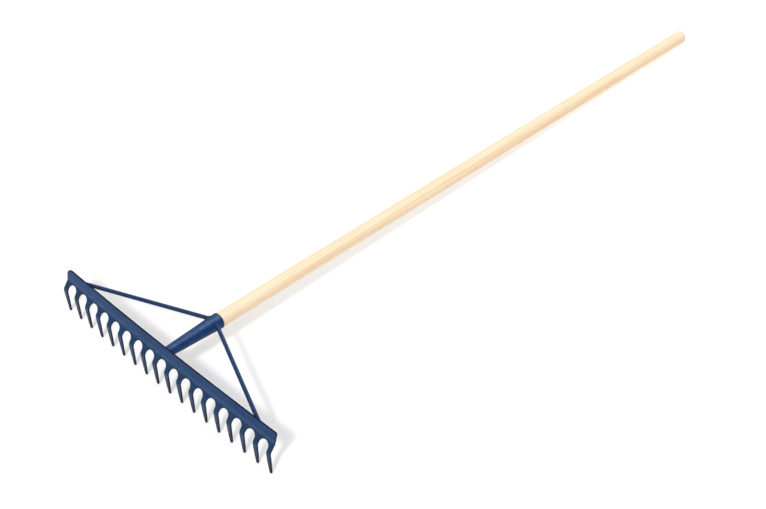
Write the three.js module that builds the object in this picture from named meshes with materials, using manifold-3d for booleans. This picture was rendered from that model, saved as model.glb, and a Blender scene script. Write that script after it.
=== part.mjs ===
// Bow rake, in millimetres.
//
// One stamped and bent steel plate makes the head, with its bar and its eighteen tines. A tapered steel
// socket is welded to the middle of the bar's back, and two round braces run from the socket's sides to the
// ends of the bar. A round wooden handle is driven into the socket, and one screw from below holds it. The
// filler metal of each weld is a solid of its own.
//
// +X runs along the head, +Y from the head towards the handle's free end, +Z up. The rake stands on its tine
// tips and on the handle's free end. The pieces are laid out from a point on the ground midway along the row
// of tine tips, and the last lines of the file move the origin to the middle of the ground under the rake.

import * as THREE from "three";
import { mergeVertices } from "three/addons/utils/BufferGeometryUtils.js";
import Module from "manifold-3d";

const wasm = await Module();
wasm.setup();

const { degToRad } = THREE.MathUtils;

// Head plate, seen from the front
const TINE_COUNT = 18;
const TINE_PITCH = 31.1;
const TINE_TIP_WIDTH = 4.5;
const TINE_MID_WIDTH = 8.3;
const TINE_ROOT_WIDTH = 10.2;
const GAP_RADIUS = (TINE_PITCH - TINE_ROOT_WIDTH) / 2;

// Ends of the head. The two differ: at the -X end the bar's corner is cut to a large round and the end tine
// has a slightly wide root, and at the +X end the corner is nearly square and the root slightly narrow.
const BAR_END = 269.8;
const LEFT_END = { side: 1, cornerRadius: 4, rootWidening: -1.4 };
const RIGHT_END = { side: -1, cornerRadius: 14, rootWidening: 0.2 };

// Head plate, seen from the side: straight runs and bends along its middle line, from the tine tips up.
// A lean is measured from upright, and is positive where the plate leans towards the handle.
const PLATE_THICKNESS = 3;
const TINE_RUN = 48;
const TINE_LEAN = degToRad(-4.7);
const ELBOW_RADIUS = 13;
const ELBOW_STEPS = 6;
const ROOT_RUN = 13.2;
const ROOT_LEAN = degToRad(35.5);
const CREASE_RADIUS = 3;
const CREASE_STEPS = 3;
const BAR_RUN = 26.2;
const BAR_LEAN = degToRad(6.5);
const GAP_CENTRE_UP_ROOT = 1.3;

// The welds pull both ends of the head back, along a shallow curve. HEAD_BOW is how far, at BOW_SPAN.
const HEAD_BOW = 3.8;
const BOW_SPAN = 269.05;
const HEAD_STEPS = 17;

// Handle
const HANDLE_RADIUS = 14;
const HANDLE_VISIBLE_LENGTH = 1410.2;
const HANDLE_SEAT_DEPTH = 90;
const HANDLE_SHOULDER = 4;
const HANDLE_DOME_LENGTH = 12;
const HANDLE_END_CHAMFER = 1.5;

// Socket, a thin cone whose mouth is the handle's end
const MOUTH_Y = 128.7;
const MOUTH_Z = 74.17;
const SOCKET_MOUTH_RADIUS = 14.9;
const SOCKET_BASE_RADIUS = 9.5;
const SOCKET_LENGTH = 117.8;
const SOCKET_WALL = 1.2;
const SOCKET_TAPER = (SOCKET_MOUTH_RADIUS - SOCKET_BASE_RADIUS) / SOCKET_LENGTH;

// Braces
const BRACE_RADIUS = 3.7;
const BRACE_HEAD_X = 232;
const BRACE_HEAD_Z = 83.2;
const BRACE_SETBACK = 14.9;
const BRACE_SOCKET_ANGLE = degToRad(30);

// Screw through the underside of the socket
const SCREW_SETBACK = 42;
const SCREW_SHANK_RADIUS = 2;
const SCREW_SHANK_LENGTH = 16;
const SCREW_POINT_LENGTH = 4;
const SCREW_HEAD_RADIUS = 4;
const SCREW_HEAD_HEIGHT = 2.4;

// Welds
const BASE_BEAD_WIDTH = 4;
const BASE_BEAD_HEIGHT = 4.6;
const HEAD_BEAD_SIZE = [11, 2.8, 5.5];
const SOCKET_BEAD_SIZE = [4.7, 6.2, 5.1];

// Space left between pieces that touch
const GAP = 0.3;

// Cutters and uncut blanks run past what they meet by SPARE. A plain block of a cutter has sides of BLOCK.
const SPARE = 10;
const BLOCK = 80;

// Facets round a full turn
const HANDLE_FACETS = 24;
const SOCKET_FACETS = 32;
const SMALL_FACETS = 16;

// The handle leans down from the socket until the last full-width stretch of it touches the ground.
const TILT = handleTilt();

const PAINT_COLOUR = 0x354f77;
const WOOD_COLOUR = 0xf2dcb8;
const ZINC_COLOUR = 0xa9adb3;

function handleTilt() {
  const restLength = HANDLE_VISIBLE_LENGTH - HANDLE_DOME_LENGTH;
  const reach = Math.hypot(restLength, HANDLE_RADIUS);
  return Math.asin(MOUTH_Z / reach) - Math.atan2(HANDLE_RADIUS, restLength);
}

// How far the head's curve carries a point back at a place along it, and how much it turns it there.
function bowAt(x) {
  return HEAD_BOW * (x / BOW_SPAN) ** 2;
}

function bowTurnAt(x) {
  return Math.atan(2 * HEAD_BOW * x / BOW_SPAN ** 2);
}

// ---- Solids and booleans ----

function toSolid(geometry) {
  const bare = geometry.clone();
  bare.deleteAttribute("normal");
  bare.deleteAttribute("uv");
  const merged = mergeVertices(bare, 1e-4);
  const vertProperties = new Float32Array(merged.attributes.position.array);
  const triVerts = new Uint32Array(merged.index.array);
  return new wasm.Manifold(new wasm.Mesh({ numProp: 3, vertProperties, triVerts }));
}

function toGeometry(solid) {
  const mesh = solid.getMesh();
  const geometry = new THREE.BufferGeometry();
  geometry.setAttribute("position", new THREE.BufferAttribute(mesh.vertProperties, 3));
  geometry.setIndex(new THREE.BufferAttribute(mesh.triVerts, 1));
  geometry.computeVertexNormals();
  return geometry;
}

function cutFrom(geometry, tools) {
  const solid = tools.reduce((rest, tool) => rest.subtract(toSolid(tool)), toSolid(geometry));
  return toGeometry(solid);
}

// A solid turned about its own Y axis, from [radius, height] pairs that run up its outside.
function turned(profile, segments) {
  const points = profile.map(([radius, height]) => new THREE.Vector2(radius, height));
  return new THREE.LatheGeometry(points, segments);
}

// Moves a solid whose Y axis is the handle's axis, with the socket's mouth at zero, into its place.
function alongHandle(geometry) {
  return geometry.rotateX(-TILT).translate(0, MOUTH_Y, MOUTH_Z);
}

// ---- Head ----

// The plate's middle line in side view, as a list of places with the lean at each.
function plateLine() {
  const places = [{ y: 0, z: 0, lean: TINE_LEAN }];
  const run = (length) => {
    const { y, z, lean } = places.at(-1);
    places.push({ y: y + length * Math.sin(lean), z: z + length * Math.cos(lean), lean });
  };
  const bend = (lean, radius, steps) => {
    const turn = (lean - places.at(-1).lean) / steps;
    for (let step = 0; step < steps; step += 1) {
      const { y, z, lean: before } = places.at(-1);
      const chord = 2 * radius * Math.sin(Math.abs(turn) / 2);
      const heading = before + turn / 2;
      const place = { y: y + chord * Math.sin(heading), z: z + chord * Math.cos(heading) };
      places.push({ ...place, lean: before + turn });
    }
  };
  run(TINE_RUN);
  bend(ROOT_LEAN, ELBOW_RADIUS, ELBOW_STEPS);
  run(ROOT_RUN);
  bend(BAR_LEAN, CREASE_RADIUS, CREASE_STEPS);
  run(BAR_RUN);
  return places;
}

const PLATE_LINE = plateLine();
const ELBOW_START = PLATE_LINE[1];
const ROOT_START = PLATE_LINE[1 + ELBOW_STEPS];
const CREASE_START = PLATE_LINE[2 + ELBOW_STEPS];
const BAR_TOP = PLATE_LINE.at(-1);

// A point off the middle line by a distance along the plate's normal, which is positive at the back.
function offLine({ y, z, lean }, distance) {
  return { y: y + distance * Math.cos(lean), z: z - distance * Math.sin(lean) };
}

// The feet of the tines are cut level with the ground.
function plateOutline() {
  const half = PLATE_THICKNESS / 2;
  const foot = half / Math.cos(TINE_LEAN);
  const front = PLATE_LINE.slice(1).map((place) => offLine(place, -half));
  const back = PLATE_LINE.slice(1).map((place) => offLine(place, half));
  return [{ y: -foot, z: 0 }, ...front, ...back.reverse(), { y: foot, z: 0 }];
}

// The uncut plate, swept along the bowed head with some to spare at each end.
function sweptPlate() {
  const half = BAR_END + SPARE;
  const bow = bowAt(half);
  const path = new THREE.QuadraticBezierCurve3(
    new THREE.Vector3(-half, bow, 0),
    new THREE.Vector3(0, -bow, 0),
    new THREE.Vector3(half, bow, 0),
  );
  const shape = new THREE.Shape(plateOutline().map(({ y, z }) => new THREE.Vector2(-z, y)));
  return new THREE.ExtrudeGeometry(shape, { extrudePath: path, steps: HEAD_STEPS, bevelEnabled: false });
}

const GAP_CENTRE = {
  y: ROOT_START.y + GAP_CENTRE_UP_ROOT * Math.sin(ROOT_LEAN),
  z: ROOT_START.z + GAP_CENTRE_UP_ROOT * Math.cos(ROOT_LEAN),
};

// Height of a side-view point above the gap's centre, measured along the root run.
function upRoot(y, z) {
  return (y - GAP_CENTRE.y) * Math.sin(ROOT_LEAN) + (z - GAP_CENTRE.z) * Math.cos(ROOT_LEAN);
}

// A cutter through the whole plate, from an outline in the plane of X and the reach it is to have each way.
function cutThrough(outline, depth) {
  return new THREE.ExtrudeGeometry(outline, { depth: 2 * depth, bevelEnabled: false, curveSegments: 14 })
    .translate(0, 0, -depth);
}

// One gap between two tines: a slot with a round head, widening to its mouth, cut square through the root.
function gapCutter(x) {
  const gapHalf = (tineWidth) => (TINE_PITCH - tineWidth) / 2;
  const root = upRoot(ELBOW_START.y, ELBOW_START.z);
  const middle = upRoot(ELBOW_START.y / 2, ELBOW_START.z / 2);
  const tip = upRoot(0, 0);
  const outline = new THREE.Shape();
  outline.moveTo(-gapHalf(TINE_TIP_WIDTH), tip - SPARE);
  outline.lineTo(gapHalf(TINE_TIP_WIDTH), tip - SPARE);
  outline.lineTo(gapHalf(TINE_TIP_WIDTH), tip);
  outline.lineTo(gapHalf(TINE_MID_WIDTH), middle);
  outline.lineTo(GAP_RADIUS, root);
  outline.absarc(0, 0, GAP_RADIUS, 0, Math.PI);
  outline.lineTo(-GAP_RADIUS, root);
  outline.lineTo(-gapHalf(TINE_MID_WIDTH), middle);
  outline.lineTo(-gapHalf(TINE_TIP_WIDTH), tip);
  return cutThrough(outline, BLOCK / 2)
    .rotateX(Math.PI / 2 - ROOT_LEAN)
    .translate(x, GAP_CENTRE.y + bowAt(x), GAP_CENTRE.z);
}

// What lies outside the head at one end: beyond the end tine's outer edge and round the bar's corner.
function endCutter({ side, cornerRadius, rootWidening }) {
  const tineCentre = (TINE_COUNT - 1) / 2 * TINE_PITCH;
  const root = tineCentre + TINE_ROOT_WIDTH / 2 + rootWidening;
  const middle = tineCentre + (TINE_MID_WIDTH + rootWidening) / 2;
  const top = BAR_TOP.z;
  const places = [
    [tineCentre + TINE_TIP_WIDTH / 2, -SPARE],
    [tineCentre + TINE_TIP_WIDTH / 2, 0],
    [middle, ELBOW_START.z / 2],
    [root, ELBOW_START.z],
    [root, CREASE_START.z],
  ];
  const cornerSteps = 6;
  for (let step = 0; step <= cornerSteps; step += 1) {
    const angle = step / cornerSteps * Math.PI / 2;
    const x = BAR_END - cornerRadius * (1 - Math.cos(angle));
    places.push([x, top - cornerRadius * (1 - Math.sin(angle))]);
  }
  places.push([BAR_END - cornerRadius, top + SPARE]);
  places.push([BAR_END + 2 * SPARE, top + SPARE]);
  places.push([BAR_END + 2 * SPARE, -SPARE]);
  const outline = new THREE.Shape(places.map(([x, z]) => new THREE.Vector2(side * x, z)));
  return cutThrough(outline, BLOCK / 2).rotateX(Math.PI / 2);
}

function rakeHead() {
  const cutters = [endCutter(LEFT_END), endCutter(RIGHT_END)];
  for (let gap = 0; gap < TINE_COUNT - 1; gap += 1) {
    cutters.push(gapCutter((gap - (TINE_COUNT - 2) / 2) * TINE_PITCH));
  }
  return cutFrom(sweptPlate(), cutters);
}

// The point of the bar's back face at a place along it and a height.
function barBack(x, z) {
  const top = offLine(BAR_TOP, PLATE_THICKNESS / 2);
  return new THREE.Vector3(x, top.y - (top.z - z) * Math.tan(BAR_LEAN) + bowAt(x), z);
}

// A block filling the plate's side of the bar's back face, and the usual gap behind that face.
function barBacking(x, z) {
  const face = barBack(x, z);
  return new THREE.BoxGeometry(BLOCK, BLOCK, BLOCK)
    .translate(0, GAP - BLOCK / 2, 0)
    .rotateX(-BAR_LEAN)
    .rotateZ(bowTurnAt(x))
    .translate(face.x, face.y, face.z);
}

// ---- Socket, handle and screw ----

function socketRadius(along) {
  return SOCKET_MOUTH_RADIUS + along * SOCKET_TAPER;
}

// The point of the handle's axis at a distance along it from the socket's mouth.
function axisPoint(along) {
  return new THREE.Vector3(0, MOUTH_Y + along * Math.cos(TILT), MOUTH_Z - along * Math.sin(TILT));
}

// Where the uncut socket starts, past the bar's back face.
const BLANK_START = -SOCKET_LENGTH - SPARE;

// The socket's outside as a solid cone, grown by a margin.
function socketCone(margin) {
  const profile = [
    [0, BLANK_START],
    [socketRadius(BLANK_START) + margin, BLANK_START],
    [SOCKET_MOUTH_RADIUS + margin, 0],
    [0, 0],
  ];
  return alongHandle(turned(profile, SOCKET_FACETS));
}

// The hole for the screw, from below the socket to just past the screw's point.
function screwHole() {
  const radius = SCREW_SHANK_RADIUS + GAP;
  const clearance = 2;
  const top = SCREW_SHANK_LENGTH + clearance - socketRadius(-SCREW_SETBACK);
  const length = SCREW_SHANK_LENGTH + clearance + SPARE;
  const hole = new THREE.CylinderGeometry(radius, radius, length, SMALL_FACETS);
  return alongHandle(hole.rotateX(Math.PI / 2).translate(0, -SCREW_SETBACK, top - length / 2));
}

function socket() {
  const lip = 0.4;
  const profile = [
    [socketRadius(BLANK_START) - SOCKET_WALL, BLANK_START],
    [socketRadius(BLANK_START), BLANK_START],
    [socketRadius(-lip), -lip],
    [SOCKET_MOUTH_RADIUS - lip, 0],
    [SOCKET_MOUTH_RADIUS - SOCKET_WALL, 0],
    [socketRadius(BLANK_START) - SOCKET_WALL, BLANK_START],
  ];
  const foot = axisPoint(-SOCKET_LENGTH);
  return cutFrom(alongHandle(turned(profile, SOCKET_FACETS)), [barBacking(0, foot.z), screwHole()]);
}

function handle() {
  const seatRadius = (along) => socketRadius(along) - SOCKET_WALL - GAP;
  const chamfered = -HANDLE_SEAT_DEPTH + HANDLE_END_CHAMFER;
  const profile = [
    [0, -HANDLE_SEAT_DEPTH],
    [seatRadius(-HANDLE_SEAT_DEPTH) - HANDLE_END_CHAMFER, -HANDLE_SEAT_DEPTH],
    [seatRadius(chamfered), chamfered],
    [seatRadius(0), 0],
    [HANDLE_RADIUS, HANDLE_SHOULDER],
  ];
  const domeStart = HANDLE_VISIBLE_LENGTH - HANDLE_DOME_LENGTH;
  const domeSteps = 6;
  for (let step = 0; step < domeSteps; step += 1) {
    const angle = step / domeSteps * Math.PI / 2;
    profile.push([HANDLE_RADIUS * Math.cos(angle), domeStart + HANDLE_DOME_LENGTH * Math.sin(angle)]);
  }
  profile.push([0, HANDLE_VISIBLE_LENGTH]);
  return cutFrom(alongHandle(turned(profile, HANDLE_FACETS)), [screwHole()]);
}

// The screw's own axis is its lathe axis, with its point up and its head's underside at zero.
function screw() {
  const profile = [
    [0, -SCREW_HEAD_HEIGHT],
    [SCREW_HEAD_RADIUS * 0.6, -SCREW_HEAD_HEIGHT],
    [SCREW_HEAD_RADIUS * 0.9, -SCREW_HEAD_HEIGHT * 0.6],
    [SCREW_HEAD_RADIUS, 0],
    [SCREW_SHANK_RADIUS, 0],
    [SCREW_SHANK_RADIUS, SCREW_SHANK_LENGTH - SCREW_POINT_LENGTH],
    [0, SCREW_SHANK_LENGTH],
  ];
  const seat = socketRadius(-SCREW_SETBACK) + GAP;
  return alongHandle(turned(profile, SMALL_FACETS).rotateX(Math.PI / 2).translate(0, -SCREW_SETBACK, -seat));
}

// ---- Braces ----

// Where a brace's axis meets the bar's back face, and where it meets the socket's side.
function braceEnds(side) {
  const onSocket = axisPoint(-BRACE_SETBACK);
  const radius = socketRadius(-BRACE_SETBACK);
  onSocket.x = side * radius * Math.cos(BRACE_SOCKET_ANGLE);
  onSocket.z += radius * Math.sin(BRACE_SOCKET_ANGLE);
  return { onHead: barBack(side * BRACE_HEAD_X, BRACE_HEAD_Z), onSocket };
}

// The round bar of a brace, grown by a margin and run past both of its ends.
function braceRod(side, margin) {
  const { onHead, onSocket } = braceEnds(side);
  const direction = onSocket.clone().sub(onHead).normalize();
  const length = onHead.distanceTo(onSocket) + 3 * SPARE;
  const middle = onHead.clone().add(onSocket).multiplyScalar(0.5);
  const turn = new THREE.Quaternion().setFromUnitVectors(new THREE.Vector3(0, 1, 0), direction);
  const radius = BRACE_RADIUS + margin;
  return new THREE.CylinderGeometry(radius, radius, length, SMALL_FACETS)
    .applyQuaternion(turn)
    .translate(middle.x, middle.y, middle.z);
}

// The rod's far side of the socket is cut off square, so that only the run outside the cone is left.
function brace(side) {
  const { onSocket } = braceEnds(side);
  const beyond = new THREE.BoxGeometry(BLOCK, BLOCK, BLOCK);
  beyond.translate(-side * BLOCK / 2, onSocket.y, onSocket.z);
  const head = barBacking(side * BRACE_HEAD_X, BRACE_HEAD_Z);
  return cutFrom(braceRod(side, 0), [head, socketCone(GAP), beyond]);
}

// ---- Welds ----

// The ring of filler metal round the socket's foot, on the bar's back.
function baseWeld() {
  const foot = axisPoint(-SOCKET_LENGTH);
  const radius = socketRadius(-SOCKET_LENGTH);
  const outer = radius + BASE_BEAD_WIDTH;
  const profile = [
    [0, -BASE_BEAD_HEIGHT / 2],
    [outer, -BASE_BEAD_HEIGHT / 2],
    [outer, BASE_BEAD_HEIGHT * 0.2],
    [radius + BASE_BEAD_WIDTH * 0.75, BASE_BEAD_HEIGHT * 0.5],
    [radius + BASE_BEAD_WIDTH * 0.35, BASE_BEAD_HEIGHT * 0.85],
    [radius, BASE_BEAD_HEIGHT],
    [0, BASE_BEAD_HEIGHT],
  ];
  const face = barBack(0, foot.z);
  const bead = turned(profile, SOCKET_FACETS).rotateX(-BAR_LEAN).translate(face.x, face.y, face.z);
  return cutFrom(bead, [barBacking(0, foot.z), socketCone(GAP)]);
}

// A rounded pad of filler metal, from its half-lengths along X, Y and Z.
function pad([halfX, halfY, halfZ]) {
  return new THREE.SphereGeometry(1, SMALL_FACETS, SMALL_FACETS / 2).scale(halfX, halfY, halfZ);
}

// The filler metal round a brace's end on the bar's back.
function headWeld(side) {
  const x = side * BRACE_HEAD_X;
  const face = barBack(x, BRACE_HEAD_Z);
  const bead = pad(HEAD_BEAD_SIZE).rotateX(-BAR_LEAN).rotateZ(bowTurnAt(x));
  bead.translate(face.x, face.y, face.z);
  return cutFrom(bead, [barBacking(x, BRACE_HEAD_Z), braceRod(side, GAP)]);
}

// The filler metal round a brace's end on the socket's side.
function socketWeld(side) {
  const { onSocket } = braceEnds(side);
  const bead = pad(SOCKET_BEAD_SIZE)
    .rotateY(-side * BRACE_SOCKET_ANGLE)
    .translate(onSocket.x, onSocket.y, onSocket.z);
  return cutFrom(bead, [socketCone(GAP), braceRod(side, GAP)]);
}

// ---- Assembly ----

const paint = () => new THREE.MeshStandardMaterial({ color: PAINT_COLOUR, roughness: 0.42, metalness: 0.1 });
const wood = () => new THREE.MeshStandardMaterial({ color: WOOD_COLOUR, roughness: 0.55, metalness: 0 });
const zinc = () => new THREE.MeshStandardMaterial({ color: ZINC_COLOUR, roughness: 0.35, metalness: 0.9 });

const rake = new THREE.Group();

function addPiece(name, geometry, material) {
  const mesh = new THREE.Mesh(geometry, material);
  mesh.name = name;
  rake.add(mesh);
}

addPiece("rake_head", rakeHead(), paint());
addPiece("socket", socket(), paint());
addPiece("handle", handle(), wood());
addPiece("handle_screw", screw(), zinc());
addPiece("socket_base_weld", baseWeld(), paint());

// Left and right are those of a person holding the handle and facing the head.
for (const [word, side] of [["left", 1], ["right", -1]]) {
  addPiece(`brace_${word}`, brace(side), paint());
  addPiece(`brace_${word}_head_weld`, headWeld(side), paint());
  addPiece(`brace_${word}_socket_weld`, socketWeld(side), paint());
}

// The rake's extent along Y runs from the front of the middle tines' elbows to the handle's dome. Both ends
// of the bar are equally far out, so the rake is already centred along X.
const extent = new THREE.Box3().setFromObject(rake);
rake.position.y = -(extent.min.y + extent.max.y) / 2;

export default rake;
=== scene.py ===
"""A bow rake in Blender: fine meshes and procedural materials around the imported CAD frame.

The pieces are laid out in millimetres, from the point on the ground midway along the row of tine tips. The
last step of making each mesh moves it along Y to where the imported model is, and turns it to metres. The
materials, the camera and the floor are in metres.
"""

import math

import bmesh
import bpy
import numpy as np
from mathutils import Matrix, Vector
from mathutils.kdtree import KDTree


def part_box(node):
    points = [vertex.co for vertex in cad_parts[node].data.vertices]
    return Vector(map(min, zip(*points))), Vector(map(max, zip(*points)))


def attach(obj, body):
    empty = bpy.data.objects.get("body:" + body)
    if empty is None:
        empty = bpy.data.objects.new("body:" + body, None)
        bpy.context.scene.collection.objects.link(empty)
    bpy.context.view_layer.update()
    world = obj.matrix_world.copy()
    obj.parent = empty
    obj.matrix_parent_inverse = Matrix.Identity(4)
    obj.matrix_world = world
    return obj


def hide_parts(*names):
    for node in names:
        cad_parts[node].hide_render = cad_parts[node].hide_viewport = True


MM = 0.001
TINY = 1e-9

# Head plate, seen from the front
TINE_COUNT = 18
TINE_PITCH = 31.1
TINE_TIP_WIDTH = 4.5
TINE_MID_WIDTH = 8.3
TINE_ROOT_WIDTH = 10.2
TINE_TIP_ROUND = 1.5
GAP_RADIUS = (TINE_PITCH - TINE_ROOT_WIDTH) / 2

# Ends of the head, by side: +X is the left of a person holding the handle
BAR_END = 269.8
END_CORNER_RADIUS = {1: 4.0, -1: 14.0}
END_ROOT_WIDENING = {1: -1.4, -1: 0.2}

# Head plate, seen from the side. A lean is measured from upright, and is positive towards the handle.
# The plate is a hair thinner than the CAD's 3 mm, so that its smooth bends stay inside the CAD's facets.
PLATE_THICKNESS = 2.96
PLATE_EDGE_ROUND = 0.6
TINE_RUN = 48.0
TINE_LEAN = math.radians(-4.7)
ELBOW_RADIUS = 13.0
ROOT_RUN = 13.2
ROOT_LEAN = math.radians(35.5)
CREASE_RADIUS = 3.0
BAR_RUN = 26.2
BAR_LEAN = math.radians(6.5)
GAP_CENTRE_UP_ROOT = 1.3
HEAD_BOW = 3.8
BOW_SPAN = 269.05
FOOT_TRIM = 0.13

# Rows and columns of the plate's mesh, which are closer together near its outline. The bar's rows are spaced
# as for a corner of the middle radius, and bend to the real corner near each end.
TINE_COLUMNS = (-1.0, -0.8, -0.4, 0.0, 0.4, 0.8, 1.0)
TINE_CELLS = len(TINE_COLUMNS) - 1
TIP_STEPS = 4
TINE_RUN_CELLS = 10
ELBOW_CELLS = 10
ARCH_CELLS = 20
ARCH_SHARES = (0.0, 0.06, 0.16, 0.32, 0.6, 1.0)
CREASE_CELLS = 6
BAR_CELLS = 7
CORNER_STEPS = 10
MIDDLE_CORNER_RADIUS = 8.0
RIM_DEGREES = (30, 60, 90)

# Painted shade and painted highlight on the plate's faces: how dark the painted shade right beside a cut edge
# is and how far that spreads, and how far the middle of the painted highlight band is above the crease and
# how far the band spreads to each side of it
EDGE_SHADE = 0.8
EDGE_FADE = 0.9
HIGHLIGHT_BAND_RISE = 4.5
HIGHLIGHT_BAND_SPREAD = 4.0
OUTLINE_STEPS = 4

# Handle
HANDLE_RADIUS = 14.0
HANDLE_VISIBLE_LENGTH = 1410.2
HANDLE_SEAT_DEPTH = 90.0
HANDLE_SHOULDER = 4.0
HANDLE_DOME_LENGTH = 12.0
HANDLE_TIP_RADIUS = 0.4
HANDLE_TIP_DROP = 0.04
HANDLE_END_CHAMFER = 1.5
HANDLE_FACETS = 72
SEAT_CELLS = 6
SHOULDER_CELLS = 5
POLE_CELLS = 70
DOME_STEPS = 12

# Socket. Its foot is cut to the bar's back, and the rings square to its axis start a short run above that.
MOUTH_Y = 128.7
MOUTH_Z = 74.17
SOCKET_MOUTH_RADIUS = 14.9
SOCKET_BASE_RADIUS = 9.5
SOCKET_LENGTH = 117.8
SOCKET_WALL = 1.2
SOCKET_TAPER = (SOCKET_MOUTH_RADIUS - SOCKET_BASE_RADIUS) / SOCKET_LENGTH
SOCKET_FOOT_GAP = 0.2
SOCKET_FOOT_RUN = 4.0
SOCKET_FACETS = 180
SOCKET_CELLS = 24
MOUTH_CELLS = 3
INSIDE_CELLS = 6
SEAM_ANGLE = math.radians(222)
SEAM_DEPTH = 0.45
SEAM_HALF_WIDTH = math.radians(2.6)

# Space between the handle and the socket's inside, and between the screw's head and the socket
FIT_GAP = 0.3

# Paint on the socket: how dark the painted shade is at the mouth and how far that reaches back, how dark the
# seam is, and the angles in degrees, the spread and the strengths of its streaks of painted highlight and of
# painted dark reflection
MOUTH_SHADE = 0.9
MOUTH_FADE = 3.0
SEAM_SHADE = 0.9
HIGHLIGHT_STREAKS = (60, 66, 72, 94, 196, 255, 318)
DARK_REFLECTION_STREAKS = (114, 124, 168, 276, 340)
STREAK_SPREAD = math.radians(4.5)
HIGHLIGHT_STREAK_STRENGTH = 2.0
DARK_STREAK_STRENGTH = 0.6

# Braces. Each end is cut to what it meets, and the rings between the two ends are square to the brace.
BRACE_RADIUS = 3.7
BRACE_HEAD_X = 232.0
BRACE_HEAD_Z = 83.2
BRACE_SETBACK = 14.9
BRACE_SOCKET_ANGLE = math.radians(30)
BRACE_END_GAP = 0.1
BRACE_HEAD_END = 14.0
BRACE_SOCKET_END = 12.0
BRACE_FACETS = 36
BRACE_CELLS = 20

# Screw: its shank and point, its head and the cross recess in that, and the ridges that stand for its thread
SCREW_SETBACK = 42.0
SCREW_SHANK_RADIUS = 2.0
SCREW_SHANK_LENGTH = 16.0
SCREW_POINT_LENGTH = 4.0
SCREW_POINT_RADIUS = 0.1
SCREW_FACETS = 48
SCREW_HEAD_RADIUS = 4.0
SCREW_HEAD_HEIGHT = 2.4
SCREW_HEAD_FLAT = 0.35
SCREW_HEAD_CURVE = 0.8
SCREW_HEAD_STEPS = 6
SCREW_RIM_HEIGHT = 0.05
SCREW_NECK_HEIGHT = 0.1
RECESS_HALF_SLOT = 0.5
RECESS_DEPTH = 1.3
RECESS_POINT_RADIUS = 0.35
RECESS_REACH = 1.05
RECESS_DRAFT = 0.2
RECESS_POINT_DEPTH = 0.35
THREAD_START = 3.0
THREAD_STOP = 1.0
THREAD_PITCH = 1.1
THREAD_RISE = 0.5
THREAD_ROOT_SHARE = 0.82

# Weld beads: the radius of each, how far its middle is outside the piece that it goes round, and how far its
# middle is off the surface that it lies on
BASE_BEAD = (2.7, 0.9, 0.7)
HEAD_BEAD = (2.0, 0.5, 0.4)
SOCKET_BEAD = (1.2, 0.4, 0.3)
BEAD_LOOP_POINTS = 72
BEAD_SIDES = 18

# The ripples on a bead: their length, how many rings each has, how much they curve and swell, and a slower
# swell along the bead
RIPPLE_LENGTH = 2.0
RIPPLE_RINGS = 7
RIPPLE_CURVE = 0.45
RIPPLE_SWELL = 0.05
SLOW_SWELL = 0.035
SLOW_SWELL_COUNT = 9.1

# Halvings when looking for where a line meets a surface, and how far past a brace's head end to look
HALVINGS = 40
SEARCH_PAST_HEAD = 40.0

# Where the Mix node has its two colours and its mixed colour
MIX_COLOURS = (6, 7)
MIX_RESULT = 2

# Enamel tones on a screen's 0 to 255 scale: a random mottle, a painted highlight, a painted shade, a painted
# greyish reflection and a darker tone towards the ground; and the heights in metres where the painted greyish
# reflection comes in and is at its strongest, and below which the enamel turns darker towards the ground
MOTTLE_TONE = (44, 82, 132)
HIGHLIGHT_TONE = (76, 108, 146)
EDGE_SHADE_TONE = (4, 14, 36)
GREY_SHEEN_TONE = (40, 60, 84)
DARK_FOOT_TONE = (30, 34, 48)
GREY_SHEEN_FROM = 0.078
GREY_SHEEN_FULL = 0.068
DARK_FOOT_FROM = 0.055

# Wood tones on the same scale
PALE_WOOD = (246, 230, 203)
WARM_WOOD = (244, 225, 194)
RING_TONE = (234, 202, 158)
# The next two tones are the painted shade band on the +X side and the painted shade on the -X side
SHADE_BAND_TONE = (236, 200, 158)
FAR_SHADE_TONE = (236, 206, 164)
STREAK_TONE = (234, 202, 160)
FIBRE_TONE = (224, 188, 144)
PORE_TONE = (190, 148, 104)

# Zinc tones on the same scale
ZINC_SHADE = (176, 179, 184)
ZINC_SHINE = (205, 206, 204)

# Painted shade on the handle, in metres: the direction across the handle towards the band of painted shade on
# its +X side, where that band and the painted shade on its -X side start and are full along that direction
# and how far they wander, and between which places along the handle the band grows from its first strength to
# its second
SHADE_SIDE_DIRECTION = (0.996, -0.0008, 0.087)
SHADE_BAND_DEPTHS = (0.0100, 0.0112)
FAR_SHADE_DEPTHS = (-0.0112, -0.0128)
DEPTH_WANDER = 0.0013
SHADE_BAND_ALONG = (0.1, 0.8)
SHADE_BAND_STRENGTHS = (0.45, 1.3)

# Camera, found from the photograph's perspective
CAMERA_PLACE = Vector((1.394886, -1.772755, 1.863457))
CAMERA_YAW = math.radians(-41.94)
CAMERA_PITCH = math.radians(42.31)
CAMERA_ROLL = math.radians(2.63)
CAMERA_LENS = 68.355
CAMERA_SENSOR_WIDTH = 36.0

# Where the lights come from: the key a little above and to the left of the camera, and the top light from
# behind
KEY_DIRECTION = Vector((0.278, -0.616, 0.778))
KEY_SPREAD = math.radians(7)
TOP_DIRECTION = Vector((-0.22, 0.57, 0.79))
TOP_SPREAD = math.radians(22)
SUN_STRENGTH = 1.25

# The white surround's strength at the horizon and overhead, and the height of a unit direction from which it
# is as overhead
HORIZON_STRENGTH = 0.95
OVERHEAD_STRENGTH = 0.52
OVERHEAD_FROM = 0.6

FLOOR_HALF_SIZE = 30.0
FLOOR_WHITE = 0.93


def handle_tilt():
    """The angle at which the handle leans down until the last of its full width touches the ground."""
    rest_length = HANDLE_VISIBLE_LENGTH - HANDLE_DOME_LENGTH
    reach_down = math.hypot(rest_length, HANDLE_RADIUS)
    return math.asin(MOUTH_Z / reach_down) - math.atan2(HANDLE_RADIUS, rest_length)


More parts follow.
